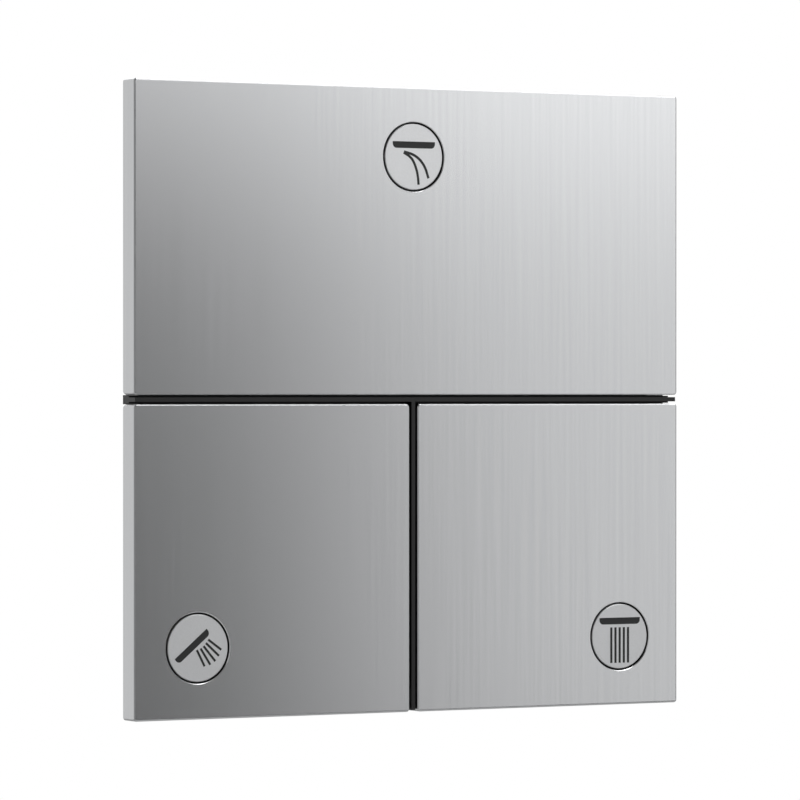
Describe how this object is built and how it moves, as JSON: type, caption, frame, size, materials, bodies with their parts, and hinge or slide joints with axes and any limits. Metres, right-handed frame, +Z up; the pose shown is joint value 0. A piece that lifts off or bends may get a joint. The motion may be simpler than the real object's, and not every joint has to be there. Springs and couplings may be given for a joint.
{
  "type": "shower diverter",
  "caption": "Square flush-mounted shower diverter plate with rocking push paddles, round symbol discs and a black seam bar, on a concealed brass manifold with click valves.",
  "frame": {"origin": "centre of the visible plate, on the plane of the finished wall", "axes": "+X to the right as seen from the room, +Y into the wall, +Z up"},
  "size_m": [0.17, 0.066, 0.17],
  "materials": {
    "paddle_steel": "satin chromed metal with faint upright brushing",
    "disc_steel": "fine matt chromed metal",
    "bar_black": "black anodised profile, satin",
    "frame_plastic": "moulded black ABS",
    "carrier_plastic": "glass filled black nylon",
    "cap_plastic": "white acetal",
    "rotor_plastic": "blue acetal",
    "cage_plastic": "ivory polyphenylene",
    "stem_steel": "turned stainless steel",
    "spring_steel": "drawn stainless spring wire",
    "screw_steel": "plain stainless screws",
    "valve_rubber": "moulded EPDM",
    "seal_rubber": "moulded EPDM",
    "gasket_fibre": "pressed fibre sheet",
    "nut_brass": "turned bright brass",
    "body_brass": "cast and machined brass"
  },
  "bodies": {
    "housing": {"top_return_spring": "spring_steel", "top_cartridge_cage": "cage_plastic", "top_cartridge_seals": "seal_rubber", "top_cartridge_nut": "nut_brass", "left_return_spring": "spring_steel", "left_cartridge_cage": "cage_plastic", "left_cartridge_seals": "seal_rubber", "left_cartridge_nut": "nut_brass", "right_return_spring": "spring_steel", "right_cartridge_cage": "cage_plastic", "right_cartridge_seals": "seal_rubber", "right_cartridge_nut": "nut_brass", "seam_bar": "bar_black", "carrier_plate": "carrier_plastic", "hinge_pins": "stem_steel", "stop_bumpers": "seal_rubber", "carrier_screws": "screw_steel", "carrier_posts": "nut_brass", "wall_seal": "seal_rubber", "manifold_body": "body_brass", "gallery_gasket": "gasket_fibre", "gallery_cover": "body_brass", "cover_screws": "screw_steel", "inlet_nipple": "nut_brass", "top_outlet_nipple": "nut_brass", "left_outlet_nipple": "nut_brass", "right_outlet_nipple": "nut_brass", "nipple_washers": "gasket_fibre"},
    "top_paddle": {"top_paddle_shell": "paddle_steel", "top_symbol_disc": "disc_steel", "top_paddle_frame": "frame_plastic"},
    "top_plunger": {"top_push_cap": "cap_plastic", "top_push_rod": "rotor_plastic", "top_spindle": "stem_steel", "top_valve_disc": "valve_rubber", "top_valve_nut": "stem_steel"},
    "top_rotor": {"top_ratchet_rotor": "rotor_plastic"},
    "left_paddle": {"left_paddle_shell": "paddle_steel", "left_symbol_disc": "disc_steel", "left_paddle_frame": "frame_plastic"},
    "left_plunger": {"left_push_cap": "cap_plastic", "left_push_rod": "rotor_plastic", "left_spindle": "stem_steel", "left_valve_disc": "valve_rubber", "left_valve_nut": "stem_steel"},
    "left_rotor": {"left_ratchet_rotor": "rotor_plastic"},
    "right_paddle": {"right_paddle_shell": "paddle_steel", "right_symbol_disc": "disc_steel", "right_paddle_frame": "frame_plastic"},
    "right_plunger": {"right_push_cap": "cap_plastic", "right_push_rod": "rotor_plastic", "right_spindle": "stem_steel", "right_valve_disc": "valve_rubber", "right_valve_nut": "stem_steel"},
    "right_rotor": {"right_ratchet_rotor": "rotor_plastic"}
  },
  "joints": [
    {"name": "top_paddle_press", "type": "hinge", "parent": "housing", "child": "top_paddle", "pos_m": [0, -0.0068, 0.008], "axis": [-1, 0, 0], "range_deg": [0, 3.2], "stiffness_Nm_per_rad": 1.5, "springref_deg": -4.58},
    {"name": "top_plunger_slide", "type": "slide", "parent": "housing", "child": "top_plunger", "axis": [0, 1, 0], "range_m": [0, 0.0019], "deforming": ["top_return_spring"]},
    {"name": "top_rotor_turn", "type": "hinge", "parent": "top_plunger", "child": "top_rotor", "pos_m": [0, 0.0106, 0.042], "axis": [0, -1, 0], "range_deg": [0, 22.5]},
    {"name": "left_paddle_press", "type": "hinge", "parent": "housing", "child": "left_paddle", "pos_m": [0, -0.0068, -0.008], "axis": [1, 0, 0], "range_deg": [0, 3.2], "stiffness_Nm_per_rad": 1.5, "springref_deg": -4.58},
    {"name": "left_plunger_slide", "type": "slide", "parent": "housing", "child": "left_plunger", "axis": [0, 1, 0], "range_m": [0, 0.00168], "deforming": ["left_return_spring"]},
    {"name": "left_rotor_turn", "type": "hinge", "parent": "left_plunger", "child": "left_rotor", "pos_m": [-0.026, 0.0106, -0.038], "axis": [0, -1, 0], "range_deg": [0, 22.5]},
    {"name": "right_paddle_press", "type": "hinge", "parent": "housing", "child": "right_paddle", "pos_m": [0, -0.0068, -0.008], "axis": [1, 0, 0], "range_deg": [0, 3.2], "stiffness_Nm_per_rad": 1.5, "springref_deg": -4.58},
    {"name": "right_plunger_slide", "type": "slide", "parent": "housing", "child": "right_plunger", "axis": [0, 1, 0], "range_m": [0, 0.00168], "deforming": ["right_return_spring"]},
    {"name": "right_rotor_turn", "type": "hinge", "parent": "right_plunger", "child": "right_rotor", "pos_m": [0.026, 0.0106, -0.038], "axis": [0, -1, 0], "range_deg": [0, 22.5]}
  ],
  "couplings": [
    {"joint": "top_plunger_slide", "follows": "top_paddle_press", "m_per_rad": 0.034},
    {"joint": "top_rotor_turn", "follows": "top_paddle_press", "ratio": 7.0312},
    {"joint": "left_plunger_slide", "follows": "left_paddle_press", "m_per_rad": 0.03},
    {"joint": "left_rotor_turn", "follows": "left_paddle_press", "ratio": 7.0312},
    {"joint": "right_plunger_slide", "follows": "right_paddle_press", "m_per_rad": 0.03},
    {"joint": "right_rotor_turn", "follows": "right_paddle_press", "ratio": 7.0312}
  ]
}
